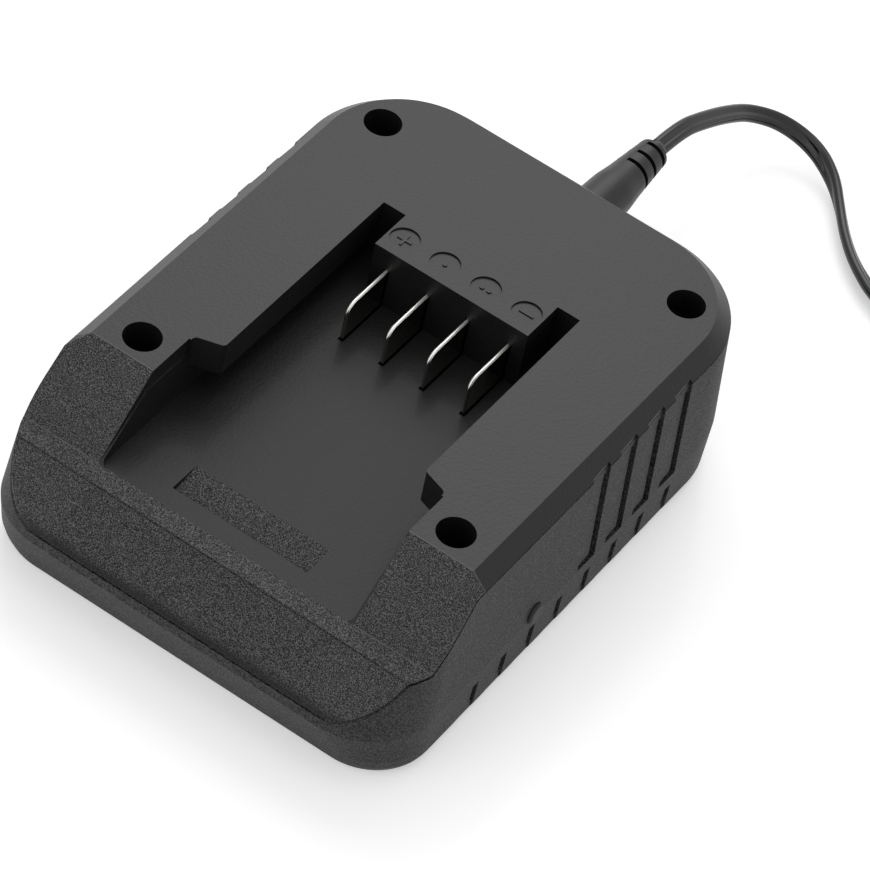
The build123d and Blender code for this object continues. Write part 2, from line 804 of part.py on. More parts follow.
coil_core_diameter = 13.4
coil_core_hole = 6.0
coil_core_height = 7.5
coil_core_round = 1.5
coil_core_inset = 26.55
coil_core_spot = (-3.5, rear - coil_core_inset)
with BuildPart() as power_inductor:
    with BuildSketch(Plane.XY.offset(board_top)):
        with Locations(coil_core_spot):
            Circle(coil_core_diameter / 2)
            Circle(coil_core_hole / 2, mode=Mode.SUBTRACT)
    extrude(amount=coil_core_height)
    fillet(power_inductor.edges().filter_by(GeomType.CIRCLE), coil_core_round)
power_inductor.part.label = "power_inductor"
export_step(power_inductor.part, "parts/power_inductor.step")

diode_diameter = 5.0
diode_length = 9.0
diode_spot = (-16.0, 6.0)
diode_wire = 1.0
with BuildPart() as rectifier_diode:
    with BuildSketch(Plane.XZ.offset(-diode_spot[1])):
        with Locations((diode_spot[0], board_top + diode_diameter / 2)):
            Circle(diode_diameter / 2)
    extrude(amount=diode_length / 2, both=True)
    with BuildSketch(Plane.YZ.offset(diode_spot[0])):
        with BuildLine():
            FilletPolyline(
                (diode_spot[1] - diode_length, board_top),
                (diode_spot[1] - diode_length, board_top + diode_diameter / 2),
                (diode_spot[1] + diode_length, board_top + diode_diameter / 2),
                (diode_spot[1] + diode_length, board_top),
                radius=diode_wire,
            )
            offset(amount=diode_wire / 2, side=Side.RIGHT)
        make_face()
    extrude(amount=diode_wire / 2, both=True)
rectifier_diode.part.label = "rectifier_diode"
export_step(rectifier_diode.part, "parts/rectifier_diode.step")

fuse_diameter = 5.2
fuse_glass = 4.6
fuse_length = 20.0
fuse_cap = 5.0
fuse_spot = (18.0, 6.0)
with BuildPart() as fuse:
    with BuildSketch(Plane.XZ.offset(-fuse_spot[1])):
        with Locations((fuse_spot[0], board_top + fuse_diameter / 2)):
            Circle(fuse_glass / 2)
    extrude(amount=fuse_length / 2, both=True)
    for end in (-1, 1):
        with BuildSketch(Plane.XZ.offset(-fuse_spot[1] - end * fuse_length / 2)):
            with Locations((fuse_spot[0], board_top + fuse_diameter / 2)):
                Circle(fuse_diameter / 2)
        extrude(amount=end * fuse_cap)
fuse.part.label = "fuse"
export_step(fuse.part, "parts/fuse.step")

shunt_span = 12.0
shunt_rise = 4.0
shunt_width = 3.0
shunt_thick = 1.0
shunt_spot = (0.0, -8.0)
with BuildPart() as current_shunt:
    with BuildSketch(Plane.XZ.offset(-shunt_spot[1])):
        with Locations((shunt_spot[0], board_top)):
            Rectangle(shunt_span, shunt_rise, align=(Align.CENTER, Align.MIN))
            Rectangle(
                shunt_span - 2 * shunt_thick,
                shunt_rise - shunt_thick,
                align=(Align.CENTER, Align.MIN),
                mode=Mode.SUBTRACT,
            )
    extrude(amount=shunt_width / 2, both=True)
current_shunt.part.label = "current_shunt"
export_step(current_shunt.part, "parts/current_shunt.step")

chip_length = 10.0
chip_width = 4.0
chip_height = 1.6
chip_draft = 8.0
chip_spot = (0.0, 10.0)
chip_leg = 0.4
chip_leg_reach = 1.0
chip_pitch = 1.27
with BuildPart() as control_chip:
    with BuildSketch(Plane.XY.offset(board_top)):
        with Locations(chip_spot):
            Rectangle(chip_length, chip_width)
    extrude(amount=chip_height, taper=chip_draft)
    with BuildSketch(Plane.XY.offset(board_top)):
        with Locations(chip_spot):
            with GridLocations(chip_pitch, 1, 8, 1):
                Rectangle(chip_leg, chip_width + 2 * chip_leg_reach)
    extrude(amount=chip_height / 4)
control_chip.part.label = "control_chip"
export_step(control_chip.part, "parts/control_chip.step")

# ---- indicator -------------------------------------------------------------------------------
lens_depth = 6.0
lens_play = 0.3
lens_flange = 1.0
lens_dome = 0.7
led_diameter = 5.0
led_length = 8.0
led_gap = 0.5
led_leg = 0.5
led_pitch = 2.54
led_lap = 2.5
lens_radius = lamp_diameter / 2
with BuildPart() as indicator_lens:
    with BuildSketch(lamp_plane):
        Circle(lens_radius)
    extrude(amount=lamp_proud)
    fillet(indicator_lens.edges().group_by(Axis.X)[-1], lens_dome)
    with BuildSketch(lamp_plane):
        Circle(lens_radius)
    extrude(amount=-lens_depth)
    with BuildSketch(lamp_plane.offset(-wall - lens_play)):
        Circle(lens_radius + lens_flange)
    extrude(amount=-lens_flange)
indicator_lens.part.label = "indicator_lens"
export_step(indicator_lens.part, "parts/indicator_lens.step")

led_tip = case_width / 2 - lens_depth - led_gap
led_base = led_tip - led_length
leg_top = board_top + led_leg
with BuildPart() as indicator_led:
    with BuildSketch(Plane.YZ.offset(led_base)):
        with Locations((lamp_station, lamp_level)):
            Circle(led_diameter / 2)
    extrude(amount=led_length)
    fillet(indicator_led.edges().group_by(Axis.X)[-1], led_diameter / 2 - led_leg)
    for leg_side in (-1, 1):
        with BuildSketch(Plane.XZ.offset(-lamp_station - leg_side * led_pitch / 2)):
            with BuildLine():
                Polyline(
                    (led_base + led_leg, lamp_level - led_leg),
                    (led_base + led_leg, lamp_level),
                    (board_half + 2 * led_leg, lamp_level),
                    (board_half + 2 * led_leg, leg_top),
                    (board_half - led_lap, leg_top),
                    (board_half - led_lap, board_top),
                    (board_half + led_leg, board_top),
                    (board_half + led_leg, lamp_level - led_leg),
                    close=True,
                )
            make_face()
        extrude(amount=led_leg / 2, both=True)
indicator_led.part.label = "indicator_led"
export_step(indicator_led.part, "parts/indicator_led.step")

# ---- jack ------------------------------------------------------------------------------------
plug_plane = Plane(origin=(0, 0, jack_level), x_dir=(0, 1, 0), z_dir=(1, 0, 0))
plug_axis = Axis((0, 0, jack_level), (0, 1, 0))
jack_back_wall = 3.0
jack_face = rear - 2 * spot_depth - wall
jack_back = jack_face - jack_depth
barrel_tip = grip_face - barrel_length
bore_radius = barrel_diameter / 2 + bore_play
bore_end = barrel_tip - 1
lug_thick = 0.8
pin_end = spot_station - 1
with BuildPart() as dc_jack:
    with BuildSketch(Plane.XZ.offset(-jack_face)) as jack_front:
        with Locations((0, board_top)):
            Rectangle(
                jack_width,
                jack_level + jack_width / 2 - board_top,
                align=(Align.CENTER, Align.MIN),
            )
        fillet(jack_front.vertices().group_by(Axis.Y)[-1], jack_width / 4)
    extrude(amount=jack_depth)
    with BuildSketch(Plane.XZ.offset(-jack_face)):
        with Locations((0, jack_level)):
            Circle(jack_nose / 2)
    extrude(amount=jack_face - spot_station)
    with BuildSketch(rear_plane):
        with Locations((0, jack_level)):
            Circle(bore_radius)
    extrude(amount=spot_station - bore_end, mode=Mode.SUBTRACT)
    with BuildSketch(rear_plane):
        with Locations((0, jack_level)):
            Circle(pin_diameter / 2)
    extrude(amount=spot_station - jack_back, mode=Mode.SUBTRACT)
    # slot of the spring contact
    with BuildSketch(Plane.XY.offset(board_top)):
        with Locations((0, bore_end + spring_thick)):
            Rectangle(
                spring_width + 2 * shell_play,
                jack_face - bore_end - 2 * spring_thick,
                align=(Align.CENTER, Align.MIN),
            )
    extrude(amount=jack_level - bore_radius / 2 - board_top, mode=Mode.SUBTRACT)
dc_jack.part.label = "dc_jack"
export_step(dc_jack.part, "parts/dc_jack.step")

with BuildPart() as jack_center_pin:
    add(turned(
        plug_plane,
        plug_axis,
        (jack_back - lug_thick, 0),
        (jack_back - lug_thick, pin_diameter / 2),
        (pin_end - pin_diameter / 4, pin_diameter / 2),
        (pin_end, pin_diameter / 4),
        (pin_end, 0),
    ))
    with BuildSketch(Plane.XY.offset(board_top)):
        with Locations((0, jack_back)):
            Rectangle(pin_diameter, lug_thick, align=(Align.CENTER, Align.MAX))
    extrude(amount=jack_level - board_top)
jack_center_pin.part.label = "jack_center_pin"
export_step(jack_center_pin.part, "parts/jack_center_pin.step")

spring_top = jack_level - bore_radius
spring_back = bore_end + spring_thick + shell_play
with BuildPart() as jack_spring_contact:
    extrude(
        side_shape([
            (spring_back, board_top),
            (spring_back, spring_top),
            (jack_face - 2 * spring_thick, spring_top),
            (jack_face - 2 * spring_thick, spring_top - spring_thick),
            (spring_back + spring_thick, spring_top - spring_thick),
            (spring_back + spring_thick, board_top),
        ]),
        amount=spring_width / 2,
        both=True,
    )
jack_spring_contact.part.label = "jack_spring_contact"
export_step(jack_spring_contact.part, "parts/jack_spring_contact.step")

# ---- plug ------------------------------------------------------------------------------------
def rolled(plane, angle):
    """The plane turned by an angle about its own x axis."""
    across = plane.z_dir * cos(radians(angle)) - plane.y_dir * sin(radians(angle))
    return Plane(origin=plane.origin, x_dir=plane.x_dir, z_dir=across)


barrel_radius = barrel_diameter / 2
neck_start = grip_face + grip_length
neck_end = neck_start + neck_length
relief_end = neck_end + relief_length
grip_end = relief_end + tip_length
with BuildPart() as plug_grip:
    with BuildSketch(plug_plane) as grip_side:
        with BuildLine():
            Polyline(
                (grip_face, grip_diameter / 2),
                (neck_start, waist_diameter / 2),
                (neck_end, neck_diameter / 2),
                (relief_end, shoulder_diameter / 2),
                (relief_end + tip_length * 2 / 3, tip_diameter / 2),
                (grip_end, cord_diameter / 2),
                (grip_end, 0),
                (grip_face + barrel_root, 0),
                (grip_face + barrel_root, barrel_radius),
                (grip_face, barrel_radius),
                close=True,
            )
        make_face()
        fillet(grip_side.vertices().filter_by_position(Axis.X, neck_start - 1, neck_end + 1), neck_round)
    revolve(axis=plug_axis)
    # ring slots that let the end of the grip bend, with a bridge at both ends of each
    for slot_side in (0, 180):
        slot_turn = slot_side + relief_twist + relief_bridge / 2
        with BuildSketch(rolled(plug_plane, slot_turn)):
            for slot in range(relief_slots):
                with Locations((neck_end + relief_start + slot * relief_pitch, relief_core / 2)):
                    Rectangle(relief_slot, neck_diameter, align=(Align.MIN, Align.MIN))
        revolve(axis=plug_axis, revolution_arc=180 - relief_bridge, mode=Mode.SUBTRACT)
plug_grip.part.label = "plug_grip"
export_step(plug_grip.part, "parts/plug_grip.step")


def sleeve(start, end, inner, outer):
    """Tube round the plug's axis."""
    return turned(plug_plane, plug_axis, (start, inner), (start, outer), (end, outer), (end, inner))


contact_radius = contact_bore / 2 + contact_wall
plug_barrel = sleeve(barrel_tip, grip_face + barrel_root, barrel_bore / 2, barrel_radius)
plug_barrel.label = "plug_barrel"
export_step(plug_barrel, "parts/plug_barrel.step")

plug_insulator = sleeve(barrel_tip, grip_face + barrel_root, contact_radius, barrel_bore / 2)
plug_insulator.label = "plug_insulator"
export_step(plug_insulator, "parts/plug_insulator.step")

plug_contact = sleeve(barrel_tip + contact_wall, grip_face + barrel_root, contact_bore / 2, contact_radius)
plug_contact.label = "plug_contact"
export_step(plug_contact, "parts/plug_contact.step")


# ---- lead ------------------------------------------------------------------------------------
def heading(angle):
    """Unit vector in the plan."""
    return Vector(cos(radians(angle)), sin(radians(angle)), 0)


def left_of(angle):
    """Unit vector in the plan, square to a heading."""
    return Vector(0, 0, 1).cross(heading(angle))


cord_radius = cord_diameter / 2
coil_width = coil_turns_wide * cord_diameter + 2 * coil_slack
coil_height = coil_turns_high * cord_diameter + 2 * coil_slack
coil_base = tie_thick + shell_play
coil_hub = Vector(coil_centre[0], coil_centre[1], 0)
entry_level = coil_base + coil_slack + cord_radius
tail_level = coil_base + coil_height - coil_slack - cord_radius
coil_in = coil_hub + left_of(coil_entry) * (coil_middle / 2) + Vector(0, 0, entry_level)
coil_out = coil_hub + left_of(coil_exit) * (coil_middle / 2) + Vector(0, 0, tail_level)
cord_end = coil_in - heading(coil_entry) * coil_tail
cord_start = Vector(0, grip_end, jack_level)
cord_route = [cord_start, cord_start + Vector(0, cord_approach, 0)]
cord_route += [Vector(*point) for point in cord_points]
cord_route += [cord_end - heading(coil_entry) * cord_approach, cord_end]


def bend_radii(route):
    """One radius for each corner of the route, as large as its two runs allow."""
    radii = []
    for before, corner, after in zip(route, route[1:], route[2:]):
        run_in = corner - before
        run_out = after - corner
        turn = radians(run_in.get_angle(run_out))
        radii.append(bend_share * min(run_in.length, run_out.length) / tan(turn / 2))
    return radii


cord_radii = bend_radii(cord_route)
print("cord radii", [round(radius, 1) for radius in cord_radii])

with BuildPart() as lead_cord:
    with BuildLine() as cord_path:
        FilletPolyline(*cord_route, radius=cord_radii)
    with BuildSketch(Plane(origin=cord_start, z_dir=cord_route[1] - cord_start)):
        Circle(cord_radius)
    sweep()
lead_cord.part.label = "lead_cord"
export_step(lead_cord.part, "parts/lead_cord.step")
cord_length = cord_path.wires()[0].length
print("cord length", cord_length, "volume ratio", lead_cord.part.volume / (pi * cord_radius**2 * cord_length))

with BuildPart() as lead_coil:
    with BuildSketch(Plane(origin=coil_hub, x_dir=(1, 0, 0), z_dir=(0, -1, 0))):
        with Locations((coil_middle / 2, coil_base + coil_height / 2)):
            RectangleRounded(coil_width, coil_height, cord_radius)
    revolve(axis=Axis(coil_hub, (0, 0, 1)))
    with BuildSketch(Plane(origin=cord_end, z_dir=heading(coil_entry))):
        Circle(cord_radius)
    extrude(amount=coil_tail)
    with BuildSketch(Plane(origin=coil_out, z_dir=heading(coil_exit))):
        Circle(cord_radius)
    extrude(amount=coil_tail)
lead_coil.part.label = "lead_coil"
export_step(lead_coil.part, "parts/lead_coil.step")
coil_length = coil_turns_wide * coil_turns_high * pi * coil_middle
print("lead length", cord_length + coil_length + 2 * coil_tail)

with BuildPart() as coil_tie:
    tie_radial = heading(tie_angle)
    with BuildSketch(Plane(origin=coil_hub, x_dir=tie_radial, z_dir=tie_radial.cross(Vector(0, 0, 1)))):
        with Locations((coil_middle / 2, coil_base + coil_height / 2)):
            RectangleRounded(
                coil_width + 2 * (shell_play + tie_thick),
                coil_height + 2 * (shell_play + tie_thick),
                cord_radius + tie_thick,
            )
            RectangleRounded(
                coil_width + 2 * shell_play,
                coil_height + 2 * shell_play,
                cord_radius,
                mode=Mode.SUBTRACT,
            )
    revolve(axis=Axis(coil_hub, (0, 0, 1)), revolution_arc=degrees(tie_width / coil_middle * 2))
coil_tie.part.label = "coil_tie"
export_step(coil_tie.part, "parts/coil_tie.step")

# ---- wall adapter ----------------------------------------------------------------------------
adapter_tip = coil_out + heading(coil_exit) * coil_tail
adapter_face = adapter_tip + heading(coil_exit) * adapter_relief_length
adapter_plane = Plane(
    origin=(adapter_face.X, adapter_face.Y, 0), x_dir=heading(coil_exit), z_dir=(0, 0, 1)
)
relief_plane = Plane(origin=adapter_tip, x_dir=heading(coil_exit), z_dir=-left_of(coil_exit))
relief_axis = Axis(adapter_tip, heading(coil_exit))


def adapter_outline(level, inset=0.0):
    """Rounded outline of the adapter, its lead end on the plane's origin."""
    with BuildSketch(adapter_plane.offset(level)) as outline:
        with Locations((adapter_length / 2, 0)):
            RectangleRounded(adapter_length - 2 * inset, adapter_width - 2 * inset, adapter_corner - inset)
    return outline.sketch


with BuildPart() as adapter_case:
    extrude(adapter_outline(adapter_split), amount=adapter_height - adapter_split, taper=adapter_draft)
    fillet(adapter_case.edges().group_by(Axis.Z)[-1], adapter_round)
    with BuildSketch(adapter_plane.offset(adapter_height)):
        with Locations((mains_station, 0)):
            SlotOverall(mains_pitch + 2 * mains_root, 2 * mains_root, rotation=90)
    extrude(amount=seam * 2)
    with BuildSketch(adapter_plane.offset(adapter_height + seam * 2)):
        with Locations((mains_station, 0)):
            with GridLocations(1, mains_pitch, 1, 2):
                Circle(mains_collar / 2)
    extrude(amount=-mains_root, mode=Mode.SUBTRACT)
    add(
        turned(
            relief_plane,
            relief_axis,
            (0, 0),
            (0, adapter_relief_foot / 2 - shell_play),
            (adapter_relief_length + adapter_relief_root, adapter_relief_foot / 2 - shell_play),
            (adapter_relief_length + adapter_relief_root, 0),
        ),
        mode=Mode.SUBTRACT,
    )
adapter_case.part.label = "adapter_case"
export_step(adapter_case.part, "parts/adapter_case.step")

with BuildPart() as adapter_cover:
    extrude(adapter_outline(adapter_split - seam), amount=seam - adapter_split, taper=adapter_draft)
    fillet(adapter_cover.edges().group_by(Axis.Z)[0], adapter_round)
    extrude(adapter_outline(adapter_split - seam, inset=2 * seam), amount=seam)
adapter_cover.part.label = "adapter_cover"
export_step(adapter_cover.part, "parts/adapter_cover.step")

with BuildPart() as adapter_pins:
    with BuildSketch(adapter_plane.offset(adapter_height + seam * 2)) as pin_ends:
        with Locations((mains_station, 0)):
            with GridLocations(1, mains_pitch, 1, 2):
                Circle(mains_collar / 2)
    extrude(amount=-mains_root)
    with BuildSketch(pin_ends.workplanes[0]):
        with Locations((mains_station, 0)):
            with GridLocations(1, mains_pitch, 1, 2):
                Circle(mains_diameter / 2)
    extrude(amount=mains_length)
    fillet(adapter_pins.edges().group_by(Axis.Z)[-1], mains_diameter / 4)
adapter_pins.part.label = "adapter_pins"
export_step(adapter_pins.part, "parts/adapter_pins.step")

with BuildPart() as adapter_relief:
    add(turned(
        relief_plane,
        relief_axis,
        (0, 0),
        (0, adapter_relief_tip / 2),
        (adapter_relief_length, adapter_relief_foot / 2 - shell_play),
        (adapter_relief_length + adapter_relief_root, adapter_relief_foot / 2 - shell_play),
        (adapter_relief_length + adapter_relief_root, 0),
    ))
    for slot_side in (0, 180):
        with BuildSketch(rolled(relief_plane, slot_side + relief_bridge / 2)):
            for slot in range(relief_slots):
                with Locations(((slot + 1) * relief_pitch, adapter_relief_tip / 2 - shell_play)):
                    Rectangle(relief_slot, adapter_relief_foot, align=(Align.MIN, Align.MIN))
        revolve(axis=relief_axis, revolution_arc=180 - relief_bridge, mode=Mode.SUBTRACT)
adapter_relief.part.label = "adapter_relief"
export_step(adapter_relief.part, "parts/adapter_relief.step")
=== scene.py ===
"""Finishes and stage for a cordless-tool battery charger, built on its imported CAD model."""

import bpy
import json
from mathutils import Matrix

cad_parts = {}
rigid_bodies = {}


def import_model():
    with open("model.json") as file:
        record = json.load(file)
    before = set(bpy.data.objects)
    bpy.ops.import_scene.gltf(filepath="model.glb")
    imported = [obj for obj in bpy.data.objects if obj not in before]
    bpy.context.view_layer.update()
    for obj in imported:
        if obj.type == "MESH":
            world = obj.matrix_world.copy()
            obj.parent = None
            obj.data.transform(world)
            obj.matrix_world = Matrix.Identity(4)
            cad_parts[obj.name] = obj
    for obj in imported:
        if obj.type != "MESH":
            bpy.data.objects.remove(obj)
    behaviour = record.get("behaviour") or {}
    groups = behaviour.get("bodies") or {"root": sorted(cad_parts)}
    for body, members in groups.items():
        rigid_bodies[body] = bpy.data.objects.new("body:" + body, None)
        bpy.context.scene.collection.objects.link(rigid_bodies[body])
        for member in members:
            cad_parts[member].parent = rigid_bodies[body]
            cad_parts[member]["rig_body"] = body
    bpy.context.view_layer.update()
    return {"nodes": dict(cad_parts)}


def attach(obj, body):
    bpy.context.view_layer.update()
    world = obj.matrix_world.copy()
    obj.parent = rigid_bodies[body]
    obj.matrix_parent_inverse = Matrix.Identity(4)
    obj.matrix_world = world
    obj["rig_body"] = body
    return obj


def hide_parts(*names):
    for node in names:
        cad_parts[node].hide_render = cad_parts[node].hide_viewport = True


bl_info = {
    "name": "Battery charger",
    "version": (1, 0, 0),
    "blender": (4, 5, 0),
    "location": "3D View > Sidebar > Charger",
    "description": "Gives the packed battery charger its finishes, its lead and a plain stage",
    "category": "Object",
}

import json
import math

import bpy
from bpy.props import (
    FloatProperty, FloatVectorProperty, IntProperty, PointerProperty, StringProperty)
from mathutils import Matrix, Vector

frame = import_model()

# Sizes are in metres, unless a comment gives another unit.

# Places on the case, as in the CAD source, so that the finishes meet its solids, and the widths
# over which a finish starts, runs out or carries a painted highlight there.
RAMP_TOP = -0.04111  # where the ramps meet the flat top
RAMP_FOOT = -0.05725  # where they meet the strip behind the nose
BAY_HALF = 0.032  # half width of the battery bay
BAY_EDGE = 0.0006  # the grain of the ramps starts this far outside the bay
BAY_LEVEL = 0.0296  # just above the bay's floor
LIP_LEVEL = 0.0177  # lower edge of the nose
LIP_FADE = 0.0022  # height above it in which the grain's colour runs out into the painted shade
POCKET_HALF = 0.0172  # latch pocket in the bay's floor: half width, front and back
POCKET_FRONT = -0.05195
POCKET_BACK = -0.04365
PAINTED_HIGHLIGHT_HALF = 0.0001  # half width of the painted highlight along the ramps' edges

# Relief and optics of the surfaces.
ABS_IOR = 1.53
VINYL_IOR = 1.53
ACRYLIC_IOR = 1.49
EPOXY_IOR = 1.54
POLYCARBONATE_IOR = 1.58
SATIN_DEPTH = 0.00007
SPARK_DEPTH = 0.00016
ETCHED_DEPTH = 0.00006
PAINTED_PIT_SHADE = 0.2  # painted shade in the pits between the grains, as a share of the plastic's colour
MOTTLE = 0.25  # the plate's colour varies by this share to either side
LIP_PAINTED_SHADE = 0.3  # painted shade on the nose's rounded lower edge below the grain, as a share of the plastic's colour
GRAIN_LOW = 0.42  # noise below this gets the full painted shade of a pit
SPARK_HIGH = 0.7  # noise above this gets the full painted highlight, in the spark grain and in the etched grain
ETCHED_HIGH = 0.64
SATIN_ROUGHNESS = 0.4
SPARK_ROUGHNESS = 0.7
ETCHED_ROUGHNESS = 0.6
BAY_ROUGHER = 0.1  # the bay's floor over the rest of the plate
COVER_SPECULAR = 0.28
HOUSING_SPECULAR = 0.26
SHEARED_ROUGHNESS = 0.46
ROLLED_ROUGHNESS = 0.07
MARK_ROUGHNESS = 0.06  # what the fine marks add on the blades
MARK_SCALE = 2500.0  # fine marks on metal, one to 0.4 mm: coarser than life, so that they show
MARK_DEPTH = 0.000002

# The lead's way, its control points on the solids' tube and ring or close beside them.
FREE_WIDTH = 1.16  # the free stretch is drawn this much wider than the lead in the coil
COIL_HUB = (0.103, 0.117)
COIL_LEVEL = 0.003  # middle of the lead in the coil's lowest row
COIL_TWIST = 180  # degrees, as the twists of the route's points
SHIFT_RUN = math.radians(70)  # the last part of each turn passes on to the next place
HUMP_RUN = math.radians(50)  # the part of the last turn in which the lead rises
ENTRY_HEADING = 25.0  # degrees: the lead's heading where it enters the coil
EXIT_HEADING = -75.0  # and where it leaves it
TAIL_LEVEL = 0.0144
TAIL_LENGTH = 0.021
TAIL = ((0.25, 1.0), (0.55, 1.0), (0.85, 0.3), (1.05, 0.0), (1.15, 0.0))  # along it, and rise

# The stage.
FLOOR_HALF = 3.0
FLOOR_DROP = 0.00005  # the floor lies this far under the feet
FLOOR_GLOW = 0.42
AMBIENT = 0.5  # the tent's light on the object; it shows as 1, white
LAMP_AIM = (0, 0, 0.02)
SENSOR = 36.0  # millimetres
CAMERA_TURN = (
    (0.81269701, -0.50242092, 0.29512167),
    (0.56234008, 0.54360514, -0.62311082),
    (0.15263425, 0.67235904, 0.72431768),
)


# ---- settings --------------------------------------------------------------------------------
class ChargerCaseSettings(bpy.types.PropertyGroup):
    """Finish of the two halves of the case."""

    colour: StringProperty(name="Plastic", description="sRGB hex of the ABS", default="#151515")
    # painted highlight: colour of the grain's brightest facets, standing in for the light they
    # catch
    painted_grain_highlight: StringProperty(
        name="Fleck", description="sRGB hex of the brightest grains on ramps and nose",
        default="#727272")
    # painted highlight: colour of the thin light line along the ramps' edges
    painted_edge_light: StringProperty(
        name="Edge", description="sRGB hex of the rubbed edges of the ramps", default="#5c5c5c")
    grain: FloatProperty(
        name="Spark grain", description="Width of one grain on the ramps and the nose",
        default=0.00025, unit="LENGTH")
    fine_grain: FloatProperty(
        name="Fine grain", description="Width of one wave of the plate's satin finish",
        default=0.0007, unit="LENGTH")
    etched_grain: FloatProperty(
        name="Etched grain", description="Width of one grain on the side walls",
        default=0.0004, unit="LENGTH")
    # painted highlight: colour of the tips of the etched grain
    painted_tip_highlight: StringProperty(
        name="Grain tip", description="sRGB hex of the tips of the etched grain",
        default="#464646")


class ChargerLeadSettings(bpy.types.PropertyGroup):
    """Section of the twin lead and its coil."""

    width: FloatProperty(
        name="Lead width", description="Across both cores", default=0.0038, unit="LENGTH")
    thickness: FloatProperty(
        name="Lead thickness", description="Across one core", default=0.0021, unit="LENGTH")
    coil_middle: FloatProperty(
        name="Coil middle", description="Diameter at the middle of the turns",
        default=0.042, unit="LENGTH")
    coil_points: IntProperty(
        name="Points per turn", description="Control points in one turn of the coil", default=16)
    colour: StringProperty(name="Lead colour", description="sRGB hex", default="#101010")


class ChargerStageSettings(bpy.types.PropertyGroup):
    """Camera, floor and lamps."""

    lens: FloatProperty(
        name="Lens", description="Focal length on a 36 mm sensor", default=216.598, unit="CAMERA")
    location: FloatVectorProperty(
        name="Camera place", description="In the model's frame", size=3,
        default=(0.34024122, -0.68889301, 0.82751858), subtype="TRANSLATION")
    floor_colour: StringProperty(name="Floor colour", description="sRGB hex", default="#f2f2f2")
    key_power: FloatProperty(
        name="Key power", description="Power of the softbox behind the object", default=4.6,
        unit="POWER")


# ---- small tools -----------------------------------------------------------------------------
def linear(hex_colour):
    """sRGB hex to linear RGBA."""
    channels = [int(hex_colour[i : i + 2], 16) / 255 for i in (1, 3, 5)]
    return tuple(
        c / 12.92 if c <= 0.04045 else ((c + 0.055) / 1.055) ** 2.4 for c in channels
    ) + (1.0,)


def add_node(tree, kind, inputs=None, **settings):
    """Add one node, with its settings and its inputs, each a value or a socket to link."""
    made = tree.nodes.new(kind)
    for name, value in settings.items():
        setattr(made, name, value)
    for socket, value in (inputs or {}).items():
        if isinstance(value, bpy.types.NodeSocket):
            tree.links.new(value, made.inputs[socket])
        else:
            made.inputs[socket].default_value = value
    return made


def start_material(name):
    """New material with an empty tree, its shader and its output."""
    material = bpy.data.materials.new(name)
    material.use_nodes = True
    tree = material.node_tree
    tree.nodes.clear()
    shader = add_node(tree, "ShaderNodeBsdfPrincipled")
    add_node(tree, "ShaderNodeOutputMaterial", {"Surface": shader.outputs[0]})
    return material, tree, shader


def shade(colour, share):
    """A linear colour made darker or lighter by that share, alpha left at 1."""
    return tuple(c * share for c in colour[:3]) + (1,)


def white_rays(tree):
    """Socket that is 1 for camera, glossy and transmission rays, which see the background white."""
    seen = add_node(tree, "ShaderNodeLightPath").outputs
    direct = add_node(
        tree, "ShaderNodeMath",
        {0: seen["Is Camera Ray"], 1: seen["Is Glossy Ray"]}, operation="MAXIMUM")
    return add_node(
        tree, "ShaderNodeMath",
        {0: direct.outputs[0], 1: seen["Is Transmission Ray"]}, operation="MAXIMUM").outputs[0]


def ease(share):
    """Smooth step from 0 to 1."""
    return share * share * (3 - 2 * share)


def set_shader(shader, **values):
    """Fixed values on the shader's own sockets; underscores stand for spaces."""
    for name, value in values.items():
        shader.inputs[name.replace("_", " ")].default_value = value


def dress(material, *nodes):
    """Give CAD nodes a material."""
    for name in nodes:
        node = frame["nodes"][name]
        node.data.materials.clear()
        node.data.materials.append(material)


def body_of(node):
    """Name of the body that carries a CAD node."""
    return frame["nodes"][node]["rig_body"]


